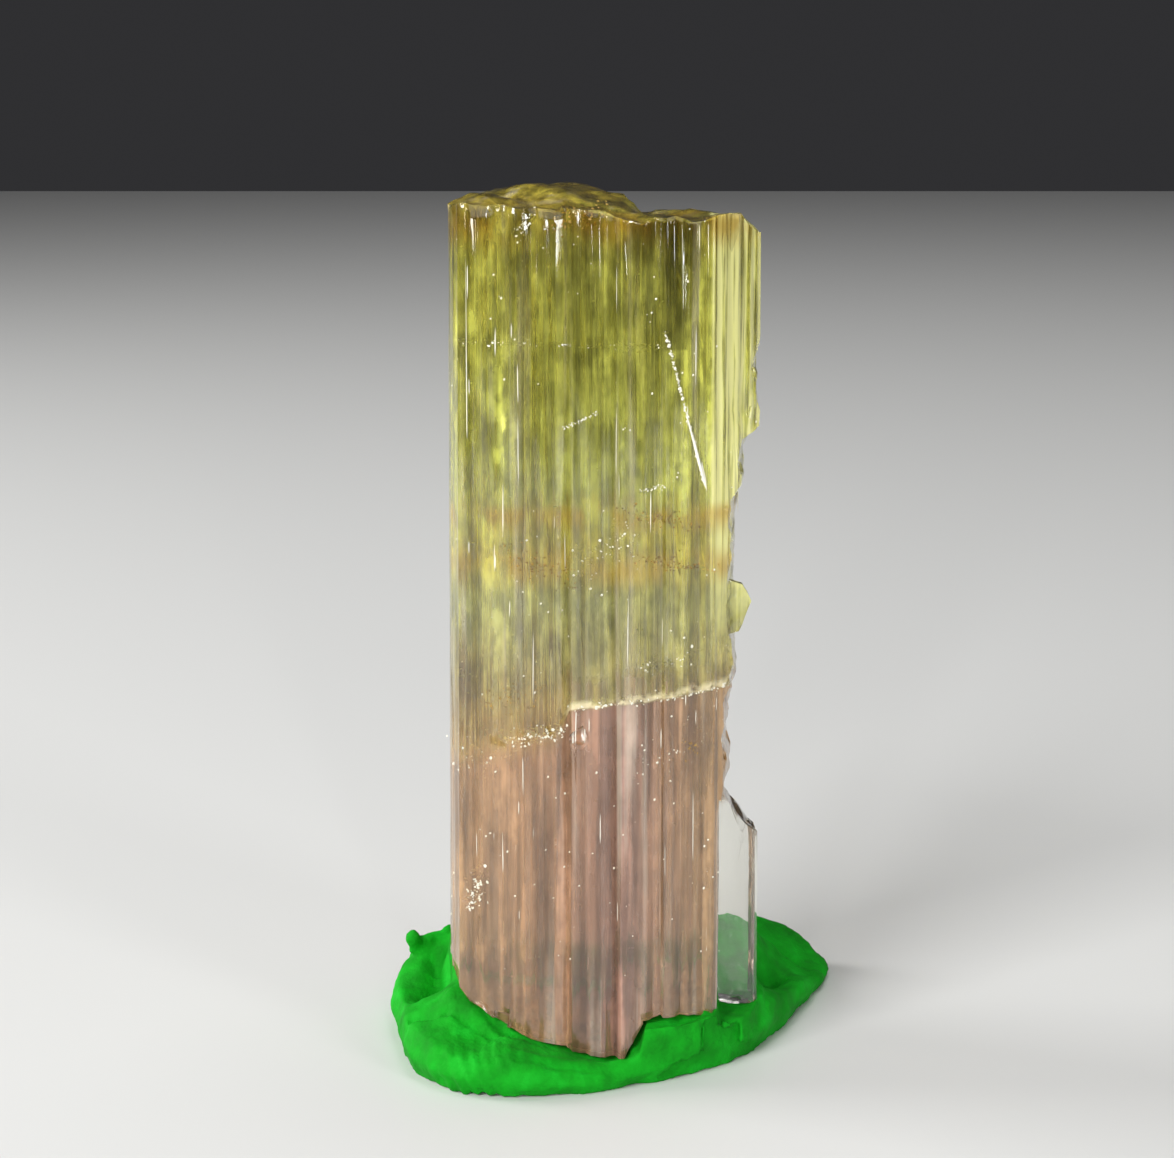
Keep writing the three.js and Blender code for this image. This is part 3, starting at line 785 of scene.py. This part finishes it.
# %% Join lumps to it and make one skin again
# Each lump is its middle, its radii and its turn about the upright, in millimetres and degrees.
PUTTY_LUMPS = [
    ((4.6, -1.7, 0.8), (1.4, 0.8, 0.7), 40),
    ((-5.7, -2.4, 1.7), (0.7, 0.9, 0.9), 30),
    ((-6.9, 1.75, 2.6), (0.95, 0.2, 0.5), 33),
    ((-7.55, 1.3, 2.95), (0.26, 0.18, 0.3), 10),
    ((-6.35, 2.2, 2.85), (0.4, 0.2, 0.3), 50),
]
for middle, radii, turn in PUTTY_LUMPS:
    bpy.ops.object.select_all(action="DESELECT")
    bpy.ops.mesh.primitive_ico_sphere_add(
        subdivisions=3,
        radius=1.0,
        location=Vector(middle) * MM,
        rotation=(0, 0, math.radians(turn)),
        scale=Vector(radii) * MM,
    )
    lump = bpy.context.active_object
    work_on(putty)
    lump.select_set(True)
    bpy.ops.object.join()
one_skin(putty, PUTTY_VOXEL_MM)
softened = putty.modifiers.new("softened", "SMOOTH")
softened.iterations = 3
bpy.ops.object.modifier_apply(modifier=softened.name)
push(putty, "kneading lumps", grain_mm=1.5, depth_mm=0.34)
push(putty, "grain", grain_mm=0.3, depth_mm=0.07, depth=3)
print("lumps joined to the putty:", len(PUTTY_LUMPS))

# %% Creases and finger ridges
# Each crease: its two ends as x and y, its width and its depth.
CREASES_MM = [
    ((-7.4, -3.6), (-6.1, -3.9), 0.14, 0.35),
    ((-6.1, -3.9), (-4.3, -4.9), 0.12, 0.22),
    ((-6.6, 0.9), (-6.5, -1.2), 0.45, 0.9),
    ((6.0, 4.6), (8.1, 4.5), 0.13, 0.3),
    ((5.5, 1.7), (6.1, 2.3), 0.35, 0.55),
    ((1.0, -5.1), (4.2, -3.6), 0.16, 0.14),
    ((-3.4, -6.2), (0.5, -5.9), 0.14, 0.12),
]
FINGER_RIDGE_MM = 0.45
FINGER_RIDGE_DEPTH_MM = 0.06
FINGER_PLACE_MM = (-4.9, -6.0)
FINGER_REACH_MM = 1.3
LEAST_PUTTY_MM = 0.2


def crease_depth(x, y):
    """How deep the creases are at a place on the pad."""
    depth = 0.0
    for start, end, width, full_depth in CREASES_MM:
        along = Vector(end) - Vector(start)
        share = (Vector((x, y)) - Vector(start)).dot(along) / along.length_squared
        nearest = Vector(start) + along * min(1.0, max(0.0, share))
        depth += full_depth * math.exp(-(((Vector((x, y)) - nearest).length / width) ** 2))
    return depth


normals = [vertex.normal.copy() for vertex in putty.data.vertices]
for vertex, normal in zip(putty.data.vertices, normals):
    x, y, z = vertex.co / MM
    away = (Vector((x, y)) - Vector(FINGER_PLACE_MM)).length / FINGER_REACH_MM
    ridge = math.sin(2 * math.pi * (x + 0.5 * z) / FINGER_RIDGE_MM) * math.exp(-(away**2))
    vertex.co += normal * (ridge * FINGER_RIDGE_DEPTH_MM * MM)
    if z > LEAST_PUTTY_MM and normal.z > 0:
        vertex.co.z = max(LEAST_PUTTY_MM * MM, vertex.co.z - crease_depth(x, y) * normal.z * MM)
for vertex in putty.data.vertices:
    vertex.co.z = max(vertex.co.z, 0.0)
print("putty faces:", len(putty.data.polygons))

# %% Press the crystal's foot into it
# Every putty point that is inside the crystal moves out to the crystal's nearest face, and a hair beyond it.
PRESS_GAP_MM = 0.03
STEP_PAST_FACE = Vector((0, 0, 1e-6))
MOST_FACES = 50
UP = Vector((0, 0, 1))


def faces_above(point):
    """How many of the crystal's faces lie straight above a point: an odd count is inside."""
    count = 0
    hit = crystal_skin.ray_cast(point, UP)[0]
    while hit is not None and count < MOST_FACES:
        count += 1
        hit = crystal_skin.ray_cast(hit + STEP_PAST_FACE, UP)[0]
    return count


moved = 0
for vertex in putty.data.vertices:
    if faces_above(vertex.co) % 2:
        nearest, outward, _, _ = crystal_skin.find_nearest(vertex.co)
        vertex.co = nearest + outward * (PRESS_GAP_MM * MM)
        moved += 1
work_on(putty)
bpy.ops.object.shade_smooth()
print("points pressed out of the crystal:", moved)
print("putty box in mm:", [round(v / MM, 2) for v in putty.dimensions])

# %% [markdown]
# ### The putty's finish
# Modelling putty is chalk in oil with a strong pigment: dull and chalky, with a faint oil shine and a green
# that drifts a little from place to place. One flat colour would look like plastic, so a broad noise drives
# the colour and a fine one the grain.

# %% Green putty
BLOTCHES_PER_MM = 0.9
CHALK_GRAINS_PER_MM = 6.0
CHALK_BUMP_MM = 0.05
PUTTY_IOR = 1.48
putty_green, tree, putty_out = new_material("modelling putty")
place = add(tree, "ShaderNodeTexCoord")
in_mm = add(tree, "ShaderNodeVectorMath", {0: place.outputs["Object"], "Scale": 1 / MM}, operation="SCALE")
blotches = add(tree, "ShaderNodeTexNoise", {"Vector": in_mm, "Scale": BLOTCHES_PER_MM, "Detail": 5})
putty_colour = add(tree, "ShaderNodeValToRGB", [blotches])
set_stops(putty_colour, [(0.3, paint("#027e0c")), (0.55, paint("#049a14")), (0.75, paint("#10b024"))])
chalk = add(tree, "ShaderNodeTexNoise", {"Vector": in_mm, "Scale": CHALK_GRAINS_PER_MM, "Detail": 6})
chalk_grain = {"Height": chalk, "Distance": CHALK_BUMP_MM * MM, "Strength": 0.9}
chalk_bump = add(tree, "ShaderNodeBump", chalk_grain)
putty_body = add(
    tree,
    "ShaderNodeBsdfPrincipled",
    {
        "Base Color": putty_colour,
        "Roughness": 0.8,
        "Normal": chalk_bump,
        "IOR": PUTTY_IOR,
        "Specular IOR Level": 0.22,
    },
)
tree.links.new(putty_body.outputs[0], putty_out.inputs["Surface"])
putty.data.materials.clear()
putty.data.materials.append(putty_green)
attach(putty, "root")
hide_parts("putty_pad")
print("putty nodes:", len(tree.nodes))

# %% [markdown]
# ## Floor and light
# The floor is a pale, plain board. Clear crystal shows the light round it more than its own, so the room is
# a dim grey and the lights are soft sheets, not bare lamps: a large one high at the left, a narrow one low
# at the right that lights the right-hand edge, two thin strips in front that draw bright lines along the
# ridges, one at the left side, and one overhead.

# %% Floor
FLOOR_HALF_WIDTH = 0.8
FLOOR_NEAR = -0.6
FLOOR_FAR = 0.5
bpy.ops.object.select_all(action="DESELECT")
bpy.ops.mesh.primitive_plane_add(size=1, location=(0, 0, 0))
floor = bpy.context.active_object
floor.name = "floor"
floor.scale = (2 * FLOOR_HALF_WIDTH, FLOOR_FAR - FLOOR_NEAR, 1)
floor.location = (0, (FLOOR_FAR + FLOOR_NEAR) / 2, 0)
bpy.ops.object.transform_apply(location=True, rotation=True, scale=True)
pale_floor, tree, floor_out = new_material("pale floor")
floor_body = add(tree, "ShaderNodeBsdfPrincipled", {"Base Color": paint("#d8d8d6"), "Roughness": 0.5})
tree.links.new(floor_body.outputs[0], floor_out.inputs["Surface"])
floor.data.materials.append(pale_floor)
print("floor in m:", [round(v, 2) for v in floor.dimensions])

# %% Lights
ROOM_STRENGTH = 0.15
room = bpy.data.worlds.new("room")
room.use_nodes = True
grey = room.node_tree.nodes["Background"]
grey.inputs["Color"].default_value = paint("#7a7a7e")
grey.inputs["Strength"].default_value = ROOM_STRENGTH
bpy.context.scene.world = room
bpy.context.scene.view_settings.view_transform = "Standard"

# Each light: place, the point it faces, width and height, all in metres, and its power in watts.
LIGHTS = {
    "high_left": ((-0.2, -0.24, 0.24), (0, 0, 0.012), (0.16, 0.16), 1.25),
    "low_right": ((0.26, -0.26, 0.12), (0, 0, 0.015), (0.07, 0.18), 0.4),
    "strip_left": ((-0.11, -0.42, 0.16), (0, 0, 0.016), (0.025, 0.22), 0.35),
    "strip_right": ((0.09, -0.42, 0.15), (0, 0, 0.016), (0.018, 0.22), 0.22),
    "side_left": ((-0.26, 0.06, 0.1), (0, 0, 0.015), (0.1, 0.16), 0.6),
    "overhead": ((0.05, 0.08, 0.4), (0, 0, 0), (0.24, 0.24), 0.6),
}
for name, (spot, aim, size, power) in LIGHTS.items():
    sheet = bpy.data.lights.new(name, "AREA")
    sheet.shape = "RECTANGLE"
    sheet.size, sheet.size_y = size
    sheet.energy = power
    lamp = bpy.data.objects.new(name, sheet)
    lamp.location = spot
    lamp.rotation_euler = (Vector(aim) - Vector(spot)).to_track_quat("-Z", "Y").to_euler()
    bpy.context.scene.collection.objects.link(lamp)
print("lights:", ", ".join(LIGHTS))
